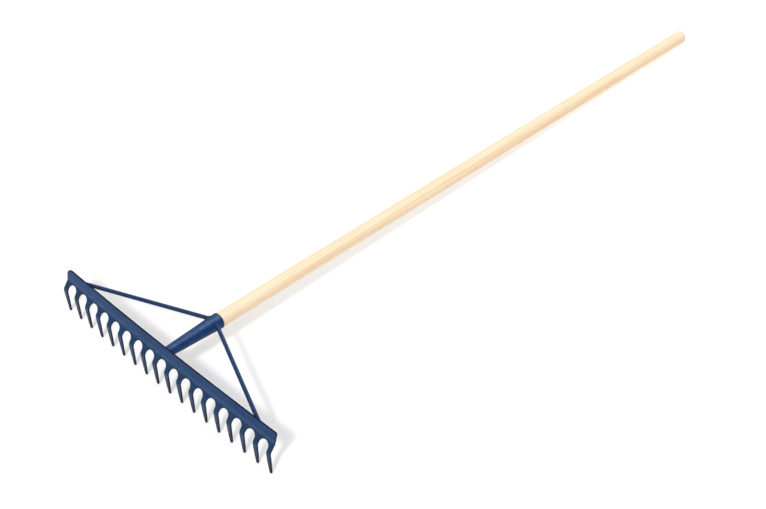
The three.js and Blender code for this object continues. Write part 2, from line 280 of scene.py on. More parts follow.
TILT = handle_tilt()
AXIS = Vector((0, math.cos(TILT), -math.sin(TILT)))
ABOVE = Vector((0, math.sin(TILT), math.cos(TILT)))
SIDEWAYS = Vector((1, 0, 0))
MOUTH = Vector((0, MOUTH_Y, MOUTH_Z))


def handle_point(sideways, along, above):
    """A point given in the handle's own directions, from the middle of the socket's mouth."""
    return MOUTH + Vector((sideways, 0, 0)) + AXIS * along + ABOVE * above


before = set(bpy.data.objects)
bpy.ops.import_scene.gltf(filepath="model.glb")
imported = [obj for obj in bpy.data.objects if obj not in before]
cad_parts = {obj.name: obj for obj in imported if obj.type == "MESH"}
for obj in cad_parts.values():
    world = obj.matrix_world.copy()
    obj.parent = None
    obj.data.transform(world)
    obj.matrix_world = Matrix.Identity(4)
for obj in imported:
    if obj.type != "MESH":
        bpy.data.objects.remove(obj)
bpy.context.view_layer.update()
SHIFT = Vector((0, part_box("handle")[1].y / MM - handle_point(0, HANDLE_VISIBLE_LENGTH, 0).y, 0))


# ---- Meshes ----


def make_piece(name, node, material, points, faces, attributes=None, normals=None, sharp=35):
    """Makes a piece that rides on the root and stands for a CAD node. Edges over sharp degrees stay sharp."""
    mesh = bpy.data.meshes.new(name)
    mesh.from_pydata([(Vector(p) + SHIFT) * MM for p in points], [], faces)
    shape = bmesh.new()
    shape.from_mesh(mesh)
    bmesh.ops.recalc_face_normals(shape, faces=shape.faces)
    shape.to_mesh(mesh)
    shape.free()
    mesh.shade_smooth()
    if normals is None:
        mesh.set_sharp_from_angle(angle=math.radians(sharp))
    else:
        mesh.normals_split_custom_set_from_vertices(normals)
    for key, values in (attributes or {}).items():
        add_attribute(mesh, key, values)
    mesh.materials.append(material)
    piece = bpy.data.objects.new(name, mesh)
    bpy.context.scene.collection.objects.link(piece)
    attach(piece, "root")
    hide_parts(node)


def add_attribute(mesh, key, values):
    """A value or a vector for each point of a mesh, for its material to read."""
    flat = np.array(values, float)
    if flat.ndim == 1:
        mesh.attributes.new(key, "FLOAT", "POINT").data.foreach_set("value", flat)
    else:
        mesh.attributes.new(key, "FLOAT_VECTOR", "POINT").data.foreach_set("vector", flat.ravel())


def skin(rings, closed=False):
    """Points and faces of a tube through rings of points. Its ends are capped unless it closes on itself."""
    count = len(rings[0])
    points = [p for ring in rings for p in ring]
    faces = []
    for row in range(len(rings) if closed else len(rings) - 1):
        first = row * count
        second = (row + 1) % len(rings) * count
        for i in range(count):
            j = (i + 1) % count
            faces.append((first + i, first + j, second + j, second + i))
    if not closed:
        faces.append(tuple(range(count)))
        faces.append(tuple(range(len(points) - count, len(points))))
    return points, faces


def lathe_rings(profile, angles):
    """Rings about the handle's axis from (radius, along) pairs."""
    rings = []
    for radius, along in profile:
        rings.append([handle_point(radius * math.cos(a), along, radius * math.sin(a)) for a in angles])
    return rings


def turn(count, start=0.0):
    """Angles evenly spaced round a full turn."""
    return [start + 2 * math.pi * i / count for i in range(count)]


def spaced(start, end, cells):
    """Evenly spaced values after start, up to and including end."""
    return [start + (end - start) * (i + 1) / cells for i in range(cells)]


# ---- Head plate ----


def plate_stations():
    """The runs and bends of the plate's middle line from the tips up: (length, lean before, lean after)."""
    return [
        (TINE_RUN, TINE_LEAN, TINE_LEAN),
        (ELBOW_RADIUS * (ROOT_LEAN - TINE_LEAN), TINE_LEAN, ROOT_LEAN),
        (ROOT_RUN, ROOT_LEAN, ROOT_LEAN),
        (CREASE_RADIUS * (ROOT_LEAN - BAR_LEAN), ROOT_LEAN, BAR_LEAN),
        (BAR_RUN, BAR_LEAN, BAR_LEAN),
    ]


STATIONS = plate_stations()
TOP_STATION = sum(length for length, _, _ in STATIONS)
ELBOW_END = STATIONS[0][0] + STATIONS[1][0]
CREASE_START = ELBOW_END + STATIONS[2][0]
CREASE_END = CREASE_START + STATIONS[3][0]
GAP_STATION = ELBOW_END + GAP_CENTRE_UP_ROOT

TINE_CENTRES = [(i - (TINE_COUNT - 1) / 2) * TINE_PITCH for i in range(TINE_COUNT)]
ARCH_ANGLES = [math.pi * i / ARCH_CELLS for i in range(1, ARCH_CELLS)]


def plate_at(station):
    """(y, z, lean) of the plate's middle line at a distance along it from the tine tips."""
    y = z = 0.0
    for length, before, after in STATIONS:
        done = min(station, length)
        lean = before + (after - before) * done / length
        middle = (before + lean) / 2
        half = (lean - before) / 2
        chord = done * (math.sin(half) / half if abs(half) > TINY else 1.0)
        y += chord * math.sin(middle)
        z += chord * math.cos(middle)
        station -= done
        if station <= TINY:
            break
    return y, z, lean


def bow_at(x):
    """How far the head's curve carries a point back at a place along it."""
    return HEAD_BOW * (x / BOW_SPAN) ** 2


def plate_point(x, station, off):
    """The 3-D point at a place along the head, a station up the plate and a distance off its middle line."""
    y, z, lean = plate_at(station)
    return Vector((x, y + off * math.cos(lean) + bow_at(x), z - off * math.sin(lean)))


def plate_normal(x, station, across, up, off):
    """The 3-D direction of a direction given across, up and off the plate."""
    _, _, lean = plate_at(station)
    bow_turn = math.atan(2 * HEAD_BOW * x / BOW_SPAN**2)
    back = up * math.sin(lean) + off * math.cos(lean)
    high = up * math.cos(lean) - off * math.sin(lean)
    return (Matrix.Rotation(bow_turn, 3, "Z") @ Vector((across, back, high))).normalized()


def half_tine(station):
    """Half of a tine's width at a station: a slight curve through its tip, middle and root widths."""
    t = min(station / TINE_RUN, 1.0)
    tip, middle, root = TINE_TIP_WIDTH, TINE_MID_WIDTH, TINE_ROOT_WIDTH
    width = tip * (1 - t) * (1 - 2 * t) + 4 * middle * t * (1 - t) + root * t * (2 * t - 1)
    return width / 2


def tine_rows(inset):
    """(station, half width) pairs up a tine, from its tip to just below the level of the gaps' centres."""
    rows = []
    for step in range(TIP_STEPS + 1):
        angle = math.pi / 2 * step / TIP_STEPS
        station = FOOT_TRIM + TINE_TIP_ROUND - (TINE_TIP_ROUND - inset) * math.cos(angle)
        half = half_tine(station) - TINE_TIP_ROUND + (TINE_TIP_ROUND - inset) * math.sin(angle)
        rows.append((station, half))
    stations = spaced(FOOT_TRIM + TINE_TIP_ROUND, TINE_RUN, TINE_RUN_CELLS)
    stations += spaced(TINE_RUN, ELBOW_END, ELBOW_CELLS)
    return rows + [(station, half_tine(station) - inset) for station in stations]


def tine_row(half, station, widening, row_gap):
    """A row of places across all the tines, with the row_gap places between each two of them."""
    row = []
    for centre in TINE_CENTRES:
        left = half + (widening[-1] if centre == TINE_CENTRES[0] else 0)
        right = half + (widening[1] if centre == TINE_CENTRES[-1] else 0)
        row += [(centre + column * (left if column < 0 else right), station) for column in TINE_COLUMNS]
        if centre != TINE_CENTRES[-1]:
            row += row_gap(centre + TINE_PITCH / 2)
    return row


def bar_edge(corner, inset):
    """Places up the bar's end: (distance in from the end, station, share of the way up to the corner)."""
    corner_centre = TOP_STATION - corner
    stations = spaced(CREASE_START, CREASE_END, CREASE_CELLS)
    stations += spaced(CREASE_END, corner_centre, BAR_CELLS)
    edge = []
    for station in stations:
        edge.append((inset, station, (station - CREASE_START) / (corner_centre - CREASE_START)))
    radius = corner - inset
    for step in range(1, CORNER_STEPS + 1):
        angle = math.pi / 2 * step / CORNER_STEPS
        edge.append((corner - radius * math.cos(angle), corner_centre + radius * math.sin(angle), 1.0))
    return edge


def gap_row(share, inset):
    """A full row, at a share of the way from the gaps' round heads up to the crease."""
    radius = GAP_RADIUS + inset

    def places(middle):
        feet = [(middle - radius * math.cos(a), GAP_STATION + radius * math.sin(a)) for a in ARCH_ANGLES]
        return [(x, foot + (CREASE_START - foot) * share) for x, foot in feet]

    station = GAP_STATION + (CREASE_START - GAP_STATION) * share
    return tine_row(TINE_ROOT_WIDTH / 2 - inset, station, END_ROOT_WIDENING, places)


def bar_rows(inset):
    """Full rows above the start of the crease. Near each end they bend to follow the round corner."""
    columns = [x for x, _ in gap_row(1.0, 0.0)]
    middle = bar_edge(MIDDLE_CORNER_RADIUS, inset)
    ends = {side: bar_edge(END_CORNER_RADIUS[side], inset) for side in (-1, 1)}
    free = TINE_CENTRES[-1] - TINE_PITCH / 2
    full = {-1: -columns[0] - free, 1: columns[-1] - free}
    rows = []
    for index, (_, station, _) in enumerate(middle):
        row = []
        for x in columns:
            side = 1 if x > 0 else -1
            drawn_in, end_station, share = ends[side][index]
            root_end = free + full[side]
            end = root_end + (BAR_END - root_end) * share - drawn_in
            weight = max(0.0, (abs(x) - free) / full[side])
            moved = free + (end - free) * weight if weight > 0 else abs(x)
            row.append((side * moved, station + (end_station - station) * weight))
        rows.append(row)
    return rows


def plate_grid(inset):
    """The plate's points as rows of (x, station), drawn in from its outline by an inset.

    The lower rows hold the tines alone, with None in the gaps. The rows above run the full length.
    """
    rows = []
    for station, width in tine_rows(inset):
        widening = {side: END_ROOT_WIDENING[side] * min(station / TINE_RUN, 1) for side in (-1, 1)}
        rows.append(tine_row(width, station, widening, lambda _: [None] * len(ARCH_ANGLES)))
    rows += [gap_row(share, inset) for share in ARCH_SHARES]
    return rows + bar_rows(inset)


def plate_faces(rows):
    """The quads between the places of a grid."""
    index, count = {}, 0
    for r, row in enumerate(rows):
        for c, place in enumerate(row):
            if place is not None:
                index[r, c] = count
                count += 1
    quads = []
    tine_top = len(tine_rows(0.0))
    for r in range(len(rows) - 1):
        for c in range(len(rows[0]) - 1):
            corners = [(r, c), (r, c + 1), (r + 1, c + 1), (r + 1, c)]
            in_gap = r < tine_top and c % (TINE_CELLS + ARCH_CELLS) >= TINE_CELLS
            if not in_gap:
                quads.append(tuple(index[corner] for corner in corners))
    return quads


def flattened(rows):
    """The places of a grid in one list."""
    return [place for row in rows for place in row if place is not None]


def boundary_of(quads):
    """The edges that only one quad has, in that quad's own direction."""
    edges = {}
    for quad in quads:
        for a, b in zip(quad, quad[1:] + quad[:1]):
            if (b, a) in edges:
                del edges[b, a]
            else:
                edges[a, b] = True
    return list(edges)


def outward_directions(outer, inner, boundary):
    """Which way the plate's outline faces, in its own plane, by the index of each point on it."""
    on_edge = sorted({i for edge in boundary for i in edge})
    return {i: (Vector(outer[i]) - Vector(inner[i])).normalized() for i in on_edge}


def edge_shades(places, outer, boundary):
    """How dark the painted shade on the plate's faces is at each place, from how near the cut edge is."""
    outline = []
    for a, b in boundary:
        start, end = Vector(outer[a]), Vector(outer[b])
        outline += [start.lerp(end, step / OUTLINE_STEPS) for step in range(OUTLINE_STEPS)]
    tree = KDTree(len(outline))
    for i, (x, station) in enumerate(outline):
        tree.insert((x, station, 0), i)
    tree.balance()
    distances = [tree.find((x, station, 0))[2] for x, station in places]
    return [EDGE_SHADE * math.exp(-distance / EDGE_FADE) for distance in distances]


def crease_highlight(station):
    """How strong the painted highlight band above the crease is at a station."""
    from_middle = station - CREASE_END - HIGHLIGHT_BAND_RISE
    return math.exp(-((from_middle / HIGHLIGHT_BAND_SPREAD) ** 2))


def rim_steps():
    """Steps across the plate's rounded edge: (inset, distance off the middle line, angle turned)."""
    half = PLATE_THICKNESS / 2
    steps = []
    for degrees in RIM_DEGREES:
        angle = math.radians(degrees)
        inset = PLATE_EDGE_ROUND * (1 - math.sin(angle))
        steps.append((inset, -half + PLATE_EDGE_ROUND * (1 - math.cos(angle)), angle))
    return steps + [(inset, -off, math.pi - angle) for inset, off, angle in reversed(steps)]


def head_plate(material):
    """The whole head: front and back faces with the gaps between them, joined by a rounded edge."""
    half = PLATE_THICKNESS / 2
    flat = flattened(plate_grid(PLATE_EDGE_ROUND))
    outer = flattened(plate_grid(0.0))
    quads = plate_faces(plate_grid(0.0))
    boundary = boundary_of(quads)
    outward = outward_directions(outer, flat, boundary)
    # Painted shade on the faces beside the cut edges, fading inwards
    face_edge_shade = edge_shades(flat, outer, boundary)

    points = [plate_point(x, s, -half) for x, s in flat]
    normals = [plate_normal(x, s, 0, 0, -1) for x, s in flat]
    cut = list(face_edge_shade)
    # A painted highlight band above the crease, on the front face only
    crease = [crease_highlight(s) for _, s in flat]
    rings = [{i: i for i in outward}]
    for inset, off, angle in rim_steps():
        places = flattened(plate_grid(inset))
        ring = {}
        for i, direction in outward.items():
            x, s = places[i]
            ring[i] = len(points)
            points.append(plate_point(x, s, off))
            side = direction * math.sin(angle)
            normals.append(plate_normal(x, s, side.x, side.y, -math.cos(angle)))
            # The rounded edge all round is painted fully in shade
            cut.append(1.0)
            crease.append(0.0)
        rings.append(ring)
    back = len(points)
    points += [plate_point(x, s, half) for x, s in flat]
    normals += [plate_normal(x, s, 0, 0, 1) for x, s in flat]
    cut += face_edge_shade
    crease += [0.0] * len(flat)
    rings.append({i: back + i for i in outward})

    faces = list(quads)
    faces += [tuple(back + i for i in reversed(quad)) for quad in quads]
    for near, far in zip(rings, rings[1:]):
        faces += [(near[b], near[a], far[a], far[b]) for a, b in boundary]
    shades = {"painted_shade_and_seam": cut, "painted_highlight": crease}
    make_piece("head_plate", "rake_head", material, points, faces, shades, normals)


# ---- Surfaces that other pieces end on ----


BAR_BACK = Vector((0, math.cos(BAR_LEAN), -math.sin(BAR_LEAN)))


def back_y(x, z):
    """Where the bar's back face is at a place along it and a height."""
    y, top_z, _ = plate_at(TOP_STATION)
    y += PLATE_THICKNESS / 2 * math.cos(BAR_LEAN)
    top_z -= PLATE_THICKNESS / 2 * math.sin(BAR_LEAN)
    return y - (top_z - z) * math.tan(BAR_LEAN) + bow_at(x)


def off_bar(point):
    """Distance behind the bar's back face."""
    return (point.y - back_y(point.x, point.z)) * math.cos(BAR_LEAN)


def socket_radius(along):
    """The socket's outside radius at a place along its axis, from its mouth."""
    return SOCKET_MOUTH_RADIUS + along * SOCKET_TAPER


def off_socket(point):
    """Distance outside the socket's cone."""
    offset = point - MOUTH
    along = offset.dot(AXIS)
    return (offset - AXIS * along).length - socket_radius(along)


def reach(start, direction, distance, furthest, wanted):
    """The point where a line first comes within a wanted distance of a surface."""
    near, far = 0.0, furthest
    for _ in range(HALVINGS):
        middle = (near + far) / 2
        if distance(start + direction * middle) > wanted:
            near = middle
        else:
            far = middle
    return start + direction * far


def reach_bar(radius, angle, wanted):
    """Where a line down the socket, at a radius and an angle round it, comes within a distance of the bar."""
    radial = SIDEWAYS * math.cos(angle) + ABOVE * math.sin(angle)
    start = MOUTH - AXIS * (SOCKET_LENGTH / 2) + radial * radius
    return reach(start, -AXIS, off_bar, SOCKET_LENGTH, wanted)


# ---- Socket, handle and screw ----


def apart(angle, other):
    """How far apart two directions round the socket are."""
    return abs((angle - other + math.pi) % (2 * math.pi) - math.pi)


def socket_angles():
    """Angles round the socket, with more of them at its seam."""
    seam = [SEAM_ANGLE + SEAM_HALF_WIDTH * share for share in (-1, -0.5, 0, 0.5, 1)]
    return seam + [a for a in turn(SOCKET_FACETS, SEAM_ANGLE) if apart(a, SEAM_ANGLE) > SEAM_HALF_WIDTH]


def seam_share(angle):
    """How close an angle round the socket is to the bottom of its rolled seam: 1 in it, and 0 outside it."""
    return max(0.0, 1 - apart(angle, SEAM_ANGLE) / SEAM_HALF_WIDTH)


def drawn(angle, lines):
    """How close an angle round the socket is to one of a set of painted streaks: 1 on it, and falling away.
    """
    nearest = min(apart(angle, math.radians(line)) for line in lines)
    return math.exp(-((nearest / STREAK_SPREAD) ** 2))


def cone_ring(along, inset, angles, dip=True):
    """One ring of the socket, drawn in from its outside by an inset, and with the seam's dip or without."""
    ring = []
    for a in angles:
        radius = socket_radius(along) - inset - (SEAM_DEPTH * seam_share(a) if dip else 0.0)
        ring.append(handle_point(radius * math.cos(a), along, radius * math.sin(a)))
    return ring


def socket_sleeve(material):
    """The socket: a thin cone whose foot follows the bar's back, with a rounded lip at its mouth."""
    angles = socket_angles()
    lip = SOCKET_WALL / 2
    first = -SOCKET_LENGTH + SOCKET_FOOT_RUN
    rings = [[reach_bar(SOCKET_BASE_RADIUS, a, SOCKET_FOOT_GAP) for a in angles]]
    # Painted shade: none until near the mouth, then growing towards it
    cut = [0.0]
    for along in spaced(first, -MOUTH_FADE, SOCKET_CELLS) + spaced(-MOUTH_FADE, -lip, MOUTH_CELLS):
        rings.append(cone_ring(along, 0.0, angles))
        cut.append(MOUTH_SHADE * max(0.0, 1 + along / MOUTH_FADE))
    # The lip and the whole inside are painted fully in shade
    for degrees in range(0, 181, 30):
        turned = math.radians(degrees)
        rings.append(cone_ring(-lip + lip * math.sin(turned), lip * (1 - math.cos(turned)), angles))
        cut.append(1.0)
    for along in spaced(-lip, first, INSIDE_CELLS):
        rings.append(cone_ring(along, SOCKET_WALL, angles, dip=False))
        cut.append(1.0)
    rings.append([reach_bar(SOCKET_BASE_RADIUS - SOCKET_WALL, a, SOCKET_FOOT_GAP) for a in angles])
    cut.append(1.0)
    points, faces = skin(rings, closed=True)
    # The seam is darkened, and streaks of painted dark reflection and painted highlight run along the socket
    dark = [max(seam_share(a) * SEAM_SHADE, drawn(a, DARK_REFLECTION_STREAKS) * DARK_STREAK_STRENGTH) for a in angles]
    light = [drawn(a, HIGHLIGHT_STREAKS) * HIGHLIGHT_STREAK_STRENGTH for a in angles]
    shades = {
        "painted_shade_and_seam": [max(value, line) for value in cut for line in dark],
        "painted_highlight": [(1 - value) * line for value in cut for line in light],
    }
    make_piece("socket_sleeve", "socket", material, points, faces, shades, sharp=50)


def seat_radius(along):
    """The radius of the handle's seat inside the socket, at a place along it."""
    return socket_radius(along) - SOCKET_WALL - FIT_GAP


def handle_profile():
    """(radius, along) pairs of the handle: its tapered seat, slight shoulder, round pole and domed end."""
    chamfered = -HANDLE_SEAT_DEPTH + HANDLE_END_CHAMFER
    profile = [(seat_radius(-HANDLE_SEAT_DEPTH) - HANDLE_END_CHAMFER, -HANDLE_SEAT_DEPTH)]
    profile += [(seat_radius(along), along) for along in [chamfered] + spaced(chamfered, 0, SEAT_CELLS)]
    for t in spaced(0, 1, SHOULDER_CELLS):
        eased = t * t * (3 - 2 * t)
        profile.append((seat_radius(0) + (HANDLE_RADIUS - seat_radius(0)) * eased, HANDLE_SHOULDER * t))
    dome_start = HANDLE_VISIBLE_LENGTH - HANDLE_DOME_LENGTH
    profile += [(HANDLE_RADIUS, along) for along in spaced(HANDLE_SHOULDER, dome_start, POLE_CELLS)]
    for step in range(1, DOME_STEPS):
        angle = math.pi / 2 * step / DOME_STEPS
        profile.append((HANDLE_RADIUS * math.cos(angle), dome_start + HANDLE_DOME_LENGTH * math.sin(angle)))
    profile.append((HANDLE_TIP_RADIUS, HANDLE_VISIBLE_LENGTH - HANDLE_TIP_DROP))
    return profile


def wood_handle(material):
    """The handle. Each point of its mesh holds its place in the uncut wood, for the grain to follow."""
    profile = handle_profile()
    angles = turn(HANDLE_FACETS)
    points, faces = skin(lathe_rings(profile, angles))
    grain = []
    for radius, along in profile:
        grain += [(radius * math.cos(a) * MM, along * MM, radius * math.sin(a) * MM) for a in angles]
    shades = {"grain_place": grain}
    make_piece("wood_handle", "handle", material, points, faces, shades, sharp=40)


def screw_thread():
    """(radius, height) pairs of shallow ridges along the shank."""
    pairs = []
    height = THREAD_START
    while height < SCREW_SHANK_LENGTH - SCREW_POINT_LENGTH - THREAD_STOP:
        pairs.append((SCREW_SHANK_RADIUS * THREAD_ROOT_SHARE, height))
        pairs.append((SCREW_SHANK_RADIUS, height + THREAD_RISE))
        height += THREAD_PITCH
    return pairs


def screw_profile():
    """(radius, height) pairs of the screw, from the flat of its head to its point."""
    profile = []
    for step in range(SCREW_HEAD_STEPS + 1):
        angle = math.pi / 2 * step / SCREW_HEAD_STEPS
        radius = SCREW_HEAD_RADIUS * (SCREW_HEAD_FLAT + (1 - SCREW_HEAD_FLAT) * math.sin(angle))
        profile.append((radius, -SCREW_HEAD_HEIGHT * math.cos(angle) ** SCREW_HEAD_CURVE))
    profile.append((SCREW_HEAD_RADIUS, SCREW_RIM_HEIGHT))
    profile.append((SCREW_SHANK_RADIUS, SCREW_NECK_HEIGHT))
    profile += screw_thread()
    profile.append((SCREW_SHANK_RADIUS, SCREW_SHANK_LENGTH - SCREW_POINT_LENGTH))
    profile.append((SCREW_POINT_RADIUS, SCREW_SHANK_LENGTH))
    return profile


def cross_recess(rim):
    """Rings that go down from the flat of the screw's head into a cross-shaped recess, deepest ring first."""
    top = -SCREW_HEAD_HEIGHT
    floor = top + RECESS_DEPTH
    arm = math.hypot(rim[0][0], rim[0][1]) * RECESS_REACH

    def cross(size, height):
        ring = []
        for x, y, _ in rim:
            a = math.atan2(y, x)
            wide = min(abs(math.sin(a)), abs(math.cos(a)))
            reach_out = min(size, RECESS_HALF_SLOT / wide if wide > TINY else size)
            ring.append((reach_out * math.cos(a), reach_out * math.sin(a), height))
        return ring

    return [
        cross(RECESS_POINT_RADIUS, floor),
        cross(arm - RECESS_DRAFT, floor - RECESS_POINT_DEPTH),
        cross(arm, top),
    ]


def pan_screw(material):
    """The screw: a low domed head with a cross recess, a shank and a point, set upwards into the handle."""
    angles = turn(SCREW_FACETS)
    rings = []
    for radius, height in screw_profile():
        rings.append([(radius * math.cos(a), radius * math.sin(a), height) for a in angles])
    rings = cross_recess(rings[0]) + rings
    seat = socket_radius(-SCREW_SETBACK) + FIT_GAP
    placed = [[handle_point(x, -SCREW_SETBACK + y, -seat + z) for x, y, z in ring] for ring in rings]
    points, faces = skin(placed)
    make_piece("pan_screw", "handle_screw", material, points, faces, sharp=30)


# ---- Braces ----


def brace_ends(side):
    """Where a brace's axis meets the bar's back, and where it meets the socket's side."""
    x = side * BRACE_HEAD_X
    on_head = Vector((x, back_y(x, BRACE_HEAD_Z), BRACE_HEAD_Z))
    radius = socket_radius(-BRACE_SETBACK)
    on_socket = handle_point(side * radius * math.cos(BRACE_SOCKET_ANGLE), -BRACE_SETBACK, 0)
    on_socket.z += radius * math.sin(BRACE_SOCKET_ANGLE)
    return on_head, on_socket


def round_the(axis, radius, angle):
    """An offset of a given radius at an angle round an axis."""
    first = axis.cross(Vector((0, 0, 1))).normalized()
    second = axis.cross(first)
    return first * (radius * math.cos(angle)) + second * (radius * math.sin(angle))


def brace_ring(side, radius, angles, to_head, wanted):
    """Where lines along a brace at some radius come within a distance of the bar's back or of the socket."""
    on_head, on_socket = brace_ends(side)
    middle = (on_head + on_socket) / 2
    to_socket = (on_socket - on_head).normalized()
    starts = [middle + round_the(to_socket, radius, a) for a in angles]
    half = (on_head - on_socket).length / 2
    if to_head:
        return [reach(start, -to_socket, off_bar, half + SEARCH_PAST_HEAD, wanted) for start in starts]
    return [reach(start, to_socket, off_socket, half + radius, wanted) for start in starts]


def brace_rod(word, side, material):
    """One round brace, cut to the bar's back at one end and to the socket's side at the other."""
    on_head, on_socket = brace_ends(side)
    axis = (on_socket - on_head).normalized()
    angles = turn(BRACE_FACETS)
    last = (on_socket - on_head).length - BRACE_SOCKET_END
    rings = [brace_ring(side, BRACE_RADIUS, angles, True, BRACE_END_GAP)]
    for along in [BRACE_HEAD_END] + spaced(BRACE_HEAD_END, last, BRACE_CELLS):
        rings.append([on_head + axis * along + round_the(axis, BRACE_RADIUS, a) for a in angles])
    rings.append(brace_ring(side, BRACE_RADIUS, angles, False, BRACE_END_GAP))
    points, faces = skin(rings)
    make_piece(f"brace_rod_{word}", f"brace_{word}", material, points, faces)


# ---- Weld beads ----


def resampled(loop, step):
    """A closed loop's points again, at an even spacing near step, and its length."""
    ends = loop[1:] + loop[:1]
    lengths = [(b - a).length for a, b in zip(loop, ends)]
    total = sum(lengths)
    count = round(total / step)
    points, index, gone = [], 0, 0.0
    for i in range(count):
        wanted = total * i / count
        while gone + lengths[index] < wanted:
            gone += lengths[index]
            index += 1
        points.append(loop[index].lerp(ends[index], (wanted - gone) / lengths[index]))
    return points, total


def bead_swell(step, steps, ripples, angle):
    """How much a bead swells at a step of the way round its loop and an angle round its own section."""
    phase = ripples * step / steps + RIPPLE_CURVE * math.sin(angle) ** 2
    slow = SLOW_SWELL * math.sin(SLOW_SWELL_COUNT * step / steps * 2 * math.pi)
    return 1 + RIPPLE_SWELL * (1 - 2 * (phase % 1.0)) + slow


def bead(name, node, loop, up, radius, material):
    """A weld bead round a closed loop: a round ridge with the curved ripples that the torch leaves."""
    points, total = resampled(loop, RIPPLE_LENGTH / RIPPLE_RINGS)
    ripples = round(total / RIPPLE_LENGTH)
    rings = []
    for i, point in enumerate(points):
        tangent = (points[(i + 1) % len(points)] - points[i - 1]).normalized()
        out = tangent.cross(up).normalized()
        over = out.cross(tangent)
        ring = []
        for angle in turn(BEAD_SIDES):
            swell = bead_swell(i, len(points), ripples, angle)
            ring.append(point + (out * math.cos(angle) + over * math.sin(angle)) * radius * swell)
        rings.append(ring)
    skin_points, faces = skin(rings, closed=True)
    make_piece(name, node, material, skin_points, faces, sharp=60)


def base_bead(material):
    """The bead round the socket's foot."""
    radius, outside, off = BASE_BEAD
    loop = [reach_bar(SOCKET_BASE_RADIUS + outside, a, off) for a in turn(BEAD_LOOP_POINTS)]
    bead("socket_base_bead", "socket_base_weld", loop, BAR_BACK, radius, material)


def brace_beads(word, side, material):
    """The two beads of one brace, at the bar's back and at the socket's side."""
    angles = turn(BEAD_LOOP_POINTS)
    outwards = Vector((side * math.cos(BRACE_SOCKET_ANGLE), 0, math.sin(BRACE_SOCKET_ANGLE)))
    for place, size, up in (("head", HEAD_BEAD, BAR_BACK), ("socket", SOCKET_BEAD, outwards)):
        radius, outside, off = size
        loop = brace_ring(side, BRACE_RADIUS + outside, angles, place == "head", off)
        bead(f"brace_{place}_bead_{word}", f"brace_{word}_{place}_weld", loop, up, radius, material)


# ---- Materials ----


def srgb(tone):
    """A linear colour from a tone's three values, each from 0 to 255."""

    def linear(value):
        value /= 255
        return value / 12.92 if value <= 0.04045 else ((value + 0.055) / 1.055) ** 2.4

    red, green, blue = tone
    return (linear(red), linear(green), linear(blue), 1.0)


class Nodes:
    """Short ways to add and join the nodes of one material."""

    def __init__(self, name):
        self.material = bpy.data.materials.new(name)
        self.material.use_nodes = True
        self.tree = self.material.node_tree
        self.shader = self.tree.nodes["Principled BSDF"]

    def add(self, kind, **settings):
        """A new node with its settings."""
        node = self.tree.nodes.new(kind)
        for key, value in settings.items():
            setattr(node, key, value)
        return node

    def join(self, source, target):
        """A link from an output to an input."""
        self.tree.links.new(source, target)

    def object_place(self):
        """The place on the object, in metres."""
        return self.add("ShaderNodeTexCoord").outputs["Object"]

    def attribute(self, name, output="Fac"):
        """A value or a vector that the mesh holds for each of its points."""
        return self.add("ShaderNodeAttribute", attribute_name=name).outputs[output]

    def part(self, place, axis):
        """One coordinate of a place."""
        node = self.add("ShaderNodeSeparateXYZ")
        self.join(place, node.inputs[0])
        return node.outputs[axis]

    def stretched(self, place, scale):
        """A place with each of its coordinates scaled."""
        node = self.add("ShaderNodeMapping")
        node.inputs["Scale"].default_value = scale
        self.join(place, node.inputs["Vector"])
        return node.outputs["Vector"]

    def noise(self, place, scale, detail=4.0, roughness=0.55):
        """Noise about 0.5."""
        node = self.add("ShaderNodeTexNoise")
        node.inputs["Scale"].default_value = scale
        node.inputs["Detail"].default_value = detail
        node.inputs["Roughness"].default_value = roughness
        self.join(place, node.inputs["Vector"])
        return node.outputs["Fac"]

    def ranged(self, value, low, high, to_low=0.0, to_high=1.0):
        """A value carried from one range to another, and held inside it."""
        node = self.add("ShaderNodeMapRange")
        node.inputs["From Min"].default_value = low
        node.inputs["From Max"].default_value = high
        node.inputs["To Min"].default_value = to_low
        node.inputs["To Max"].default_value = to_high
        self.join(value, node.inputs["Value"])
        return node.outputs["Result"]

    def maths(self, operation, first, second):
        """The sum or product of two values, each a number or another node's output."""
        node = self.add("ShaderNodeMath", operation=operation)
        for socket, value in zip(node.inputs, (first, second)):
            if isinstance(value, (int, float)):
                socket.default_value = value
            else:
                self.join(value, socket)
        return node.outputs["Value"]

    def blend(self, factor, first, second):
        """A mix of two colours, each a tone or another node's output."""
        node = self.add("ShaderNodeMix", data_type="RGBA")
        self.join(factor, node.inputs["Factor"])
        for index, value in zip(MIX_COLOURS, (first, second)):
            if isinstance(value, tuple):
                node.inputs[index].default_value = srgb(value)
            else:
                self.join(value, node.inputs[index])
        return node.outputs[MIX_RESULT]

    def bump(self, height, strength, distance):
        """Bump on the shader from a height."""
        node = self.add("ShaderNodeBump")
        node.inputs["Strength"].default_value = strength
        node.inputs["Distance"].default_value = distance
        self.join(height, node.inputs["Height"])
        self.join(node.outputs["Normal"], self.shader.inputs["Normal"])


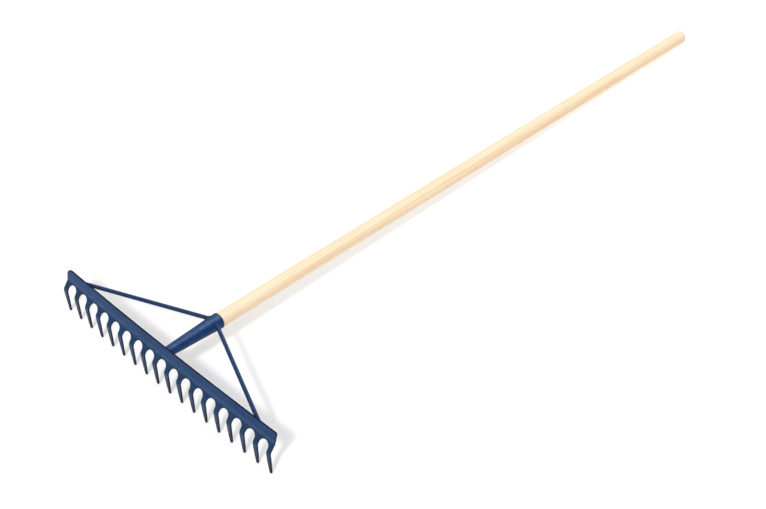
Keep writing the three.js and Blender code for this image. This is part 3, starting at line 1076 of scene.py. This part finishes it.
def enamel(name, gloss, roughness, deep, light):
    """Blue sprayed enamel between two tones, with the painted shade, seam and painted highlight that the mesh
    holds, a painted greyish reflection below a height, and darker towards the ground.
    """
    n = Nodes(name)
    place = n.object_place()
    height = n.part(place, "Z")
    clouds = n.noise(place, 14, detail=3)
    speckle = n.noise(place, 210, detail=6, roughness=0.75)
    patchiness = n.noise(place, 160, detail=6, roughness=0.65)
    # Painted highlight: the band above the crease and the streaks along the socket, made patchy
    crease = n.maths("MULTIPLY", n.attribute("painted_highlight"), n.ranged(patchiness, 0.3, 0.65, 0.08, 0.42))
    # Painted shade at cut edges, the mouth and inside the socket, with the seam's darkness and the socket's
    # painted dark reflection streaks, made patchy
    cut = n.maths("MULTIPLY", n.attribute("painted_shade_and_seam"), n.ranged(patchiness, 0.25, 0.6, 0.7, 1.0))
    # Painted greyish reflection on everything below a height
    dull = n.ranged(height, GREY_SHEEN_FROM, GREY_SHEEN_FULL, 0, 0.45)
    # Darker towards the ground, patchily
    foot = n.maths("MULTIPLY", n.ranged(height, DARK_FOOT_FROM, 0.0), n.ranged(patchiness, 0.2, 0.6, 0.5, 0.9))

    base = n.blend(n.ranged(clouds, 0.3, 0.7), deep, light)
    base = n.blend(n.ranged(speckle, 0.4, 0.75, 0, 0.6), base, MOTTLE_TONE)
    base = n.blend(crease, base, HIGHLIGHT_TONE)
    base = n.blend(cut, base, EDGE_SHADE_TONE)
    base = n.blend(dull, base, GREY_SHEEN_TONE)
    base = n.blend(foot, base, DARK_FOOT_TONE)
    n.join(base, n.shader.inputs["Base Color"])

    rough = n.ranged(n.noise(place, 60, detail=5), 0.3, 0.7, roughness - 0.07, roughness + 0.07)
    worn = n.maths("ADD", n.maths("MULTIPLY", foot, 0.2), n.maths("MULTIPLY", cut, 0.3))
    n.join(n.maths("ADD", rough, worn), n.shader.inputs["Roughness"])
    n.shader.inputs["Specular IOR Level"].default_value = gloss
    orange_peel = n.noise(place, 700, detail=2)
    n.bump(n.maths("ADD", orange_peel, n.maths("MULTIPLY", speckle, 0.35)), 0.25, 0.0003)
    return n.material


def growth_rings(n, place):
    """Bands along the handle where its growth rings come to the surface."""
    node = n.add("ShaderNodeTexWave", wave_type="BANDS", bands_direction="X", wave_profile="SAW")
    node.inputs["Scale"].default_value = 60
    node.inputs["Distortion"].default_value = 3.2
    node.inputs["Detail"].default_value = 3
    node.inputs["Detail Scale"].default_value = 1.4
    n.join(n.stretched(place, (1, 0.02, 0.5)), node.inputs["Vector"])
    return node.outputs["Fac"]


def shade_side_depth(n, place):
    """How far a place is from the handle's axis towards the side that carries the painted shade band,
    wandering along the handle.
    """
    across = n.add("ShaderNodeVectorMath", operation="DOT_PRODUCT")
    n.join(place, across.inputs[0])
    across.inputs[1].default_value = SHADE_SIDE_DIRECTION
    drift = n.noise(n.stretched(place, (0.3, 0.16, 0.3)), 16, detail=2)
    wander = n.ranged(drift, 0.3, 0.7, -DEPTH_WANDER, DEPTH_WANDER)
    return n.maths("ADD", across.outputs["Value"], wander)


def wood():
    """Pale planed hardwood under a thin varnish, with bands, streaks and fine fibres along the handle, a band
    of painted shade along its +X side broken up by the streaks, and painted shade along its -X side.
    """
    n = Nodes("pale_wood")
    place = n.attribute("grain_place", "Vector")
    wander = n.noise(n.stretched(place, (1, 0.12, 1)), 22, detail=3)
    fibres = n.noise(n.stretched(place, (1, 0.012, 1)), 900, detail=4, roughness=0.7)
    pores = n.noise(n.stretched(place, (1, 0.03, 1)), 1500, detail=2)
    streaks = n.noise(n.stretched(place, (1, 0.008, 1)), 360, detail=3, roughness=0.6)
    depth = shade_side_depth(n, place)
    strength = n.ranged(n.part(place, "Y"), *SHADE_BAND_ALONG, *SHADE_BAND_STRENGTHS)
    # Painted shade band along the +X side, stronger further along the handle and broken up by the streaks
    shade_band = n.maths("MULTIPLY", n.ranged(depth, *SHADE_BAND_DEPTHS), strength)
    shade_band = n.maths("MULTIPLY", shade_band, n.ranged(streaks, 0.38, 0.62, 0.1, 0.95))
    # Painted shade along the -X side
    far_shade = n.maths("MULTIPLY", n.ranged(depth, *FAR_SHADE_DEPTHS), 0.6)

    base = n.blend(n.ranged(wander, 0.35, 0.7), PALE_WOOD, WARM_WOOD)
    base = n.blend(n.ranged(growth_rings(n, place), 0.4, 1.0, 0, 0.65), base, RING_TONE)
    base = n.blend(shade_band, base, SHADE_BAND_TONE)
    base = n.blend(far_shade, base, FAR_SHADE_TONE)
    base = n.blend(n.ranged(streaks, 0.5, 0.72, 0, 0.5), base, STREAK_TONE)
    base = n.blend(n.ranged(fibres, 0.48, 0.75, 0, 0.6), base, FIBRE_TONE)
    base = n.blend(n.ranged(pores, 0.68, 0.82, 0, 0.4), base, PORE_TONE)
    n.join(base, n.shader.inputs["Base Color"])
    n.join(n.ranged(fibres, 0.3, 0.7, 0.4, 0.58), n.shader.inputs["Roughness"])
    n.shader.inputs["Specular IOR Level"].default_value = 0.3
    n.bump(n.maths("ADD", fibres, n.maths("MULTIPLY", pores, 0.5)), 0.3, 0.00025)
    return n.material


def zinc():
    """Bright zinc plate, faintly mottled, with a fine tooth."""
    n = Nodes("zinc_plate")
    place = n.object_place()
    mottle = n.noise(place, 380, detail=4)
    base = n.blend(n.ranged(mottle, 0.3, 0.7), ZINC_SHADE, ZINC_SHINE)
    n.join(base, n.shader.inputs["Base Color"])
    n.join(n.ranged(mottle, 0.3, 0.7, 0.25, 0.42), n.shader.inputs["Roughness"])
    n.shader.inputs["Metallic"].default_value = 1.0
    n.bump(n.noise(place, 2400, detail=2), 0.2, 0.0001)
    return n.material


def floor_paper():
    """White studio paper."""
    n = Nodes("floor_paper")
    tooth = n.noise(n.object_place(), 260, detail=4)
    n.join(n.ranged(tooth, 0.3, 0.7, 0.8, 0.9), n.shader.inputs["Roughness"])
    n.shader.inputs["Base Color"].default_value = (FLOOR_WHITE, FLOOR_WHITE, FLOOR_WHITE, 1)
    n.shader.inputs["Specular IOR Level"].default_value = 0.0
    return n.material


# ---- Studio ----


def add_floor():
    """A wide plain floor."""
    size = FLOOR_HALF_SIZE
    mesh = bpy.data.meshes.new("floor")
    corners = [(-size, -size, 0), (size, -size, 0), (size, size, 0), (-size, size, 0)]
    mesh.from_pydata(corners, [], [(0, 1, 2, 3)])
    mesh.materials.append(floor_paper())
    floor = bpy.data.objects.new("floor", mesh)
    bpy.context.scene.collection.objects.link(floor)


def add_sun(name, direction, spread, shadow=True):
    """A soft distant light that comes from a direction."""
    lamp = bpy.data.lights.new(name, "SUN")
    lamp.angle = spread
    lamp.energy = SUN_STRENGTH
    lamp.use_shadow = shadow
    light = bpy.data.objects.new(name, lamp)
    light.rotation_mode = "QUATERNION"
    light.rotation_quaternion = (-direction).to_track_quat("-Z", "Y")
    bpy.context.scene.collection.objects.link(light)


def add_world():
    """A white surround, brighter at the horizon than overhead."""
    world = bpy.data.worlds.new("studio")
    world.use_nodes = True
    nodes, links = world.node_tree.nodes, world.node_tree.links
    background = nodes["Background"]
    background.inputs["Color"].default_value = (1, 1, 1, 1)
    direction = nodes.new("ShaderNodeTexCoord")
    split = nodes.new("ShaderNodeSeparateXYZ")
    strength = nodes.new("ShaderNodeMapRange")
    strength.inputs["From Max"].default_value = OVERHEAD_FROM
    strength.inputs["To Min"].default_value = HORIZON_STRENGTH
    strength.inputs["To Max"].default_value = OVERHEAD_STRENGTH
    links.new(direction.outputs["Generated"], split.inputs[0])
    links.new(split.outputs["Z"], strength.inputs["Value"])
    links.new(strength.outputs["Result"], background.inputs["Strength"])
    bpy.context.scene.world = world


def add_camera():
    """The camera, turned by its yaw, then its pitch downwards, then its roll."""
    yaw, pitch, roll = CAMERA_YAW, CAMERA_PITCH, CAMERA_ROLL
    forward = Vector((math.cos(pitch) * math.sin(yaw), math.cos(pitch) * math.cos(yaw), -math.sin(pitch)))
    level = Vector((math.cos(yaw), -math.sin(yaw), 0))
    upright = level.cross(forward)
    right = level * math.cos(roll) + upright * math.sin(roll)
    up = upright * math.cos(roll) - level * math.sin(roll)
    lens = bpy.data.cameras.new("camera")
    lens.sensor_width = CAMERA_SENSOR_WIDTH
    lens.lens = CAMERA_LENS
    camera = bpy.data.objects.new("camera", lens)
    turned = Matrix((right, up, -forward)).transposed()
    camera.matrix_world = Matrix.Translation(CAMERA_PLACE) @ turned.to_4x4()
    bpy.context.scene.collection.objects.link(camera)
    bpy.context.scene.camera = camera


def build():
    """All the pieces. The enamels differ slightly by part."""
    satin = enamel("satin_enamel", gloss=0.11, roughness=0.37, deep=(5, 43, 86), light=(12, 54, 101))
    dull = enamel("dull_enamel", gloss=0.13, roughness=0.37, deep=(26, 47, 80), light=(35, 57, 92))
    glossy = enamel("glossy_enamel", gloss=0.17, roughness=0.28, deep=(1, 38, 86), light=(6, 49, 102))
    head_plate(satin)
    socket_sleeve(glossy)
    wood_handle(wood())
    pan_screw(zinc())
    base_bead(glossy)
    for word, side in (("left", 1), ("right", -1)):
        brace_rod(word, side, dull)
        brace_beads(word, side, dull)


build()
add_floor()
add_world()
add_sun("key", KEY_DIRECTION, KEY_SPREAD)
add_sun("top", TOP_DIRECTION, TOP_SPREAD, shadow=False)
add_camera()
bpy.context.scene.view_settings.view_transform = "Standard"
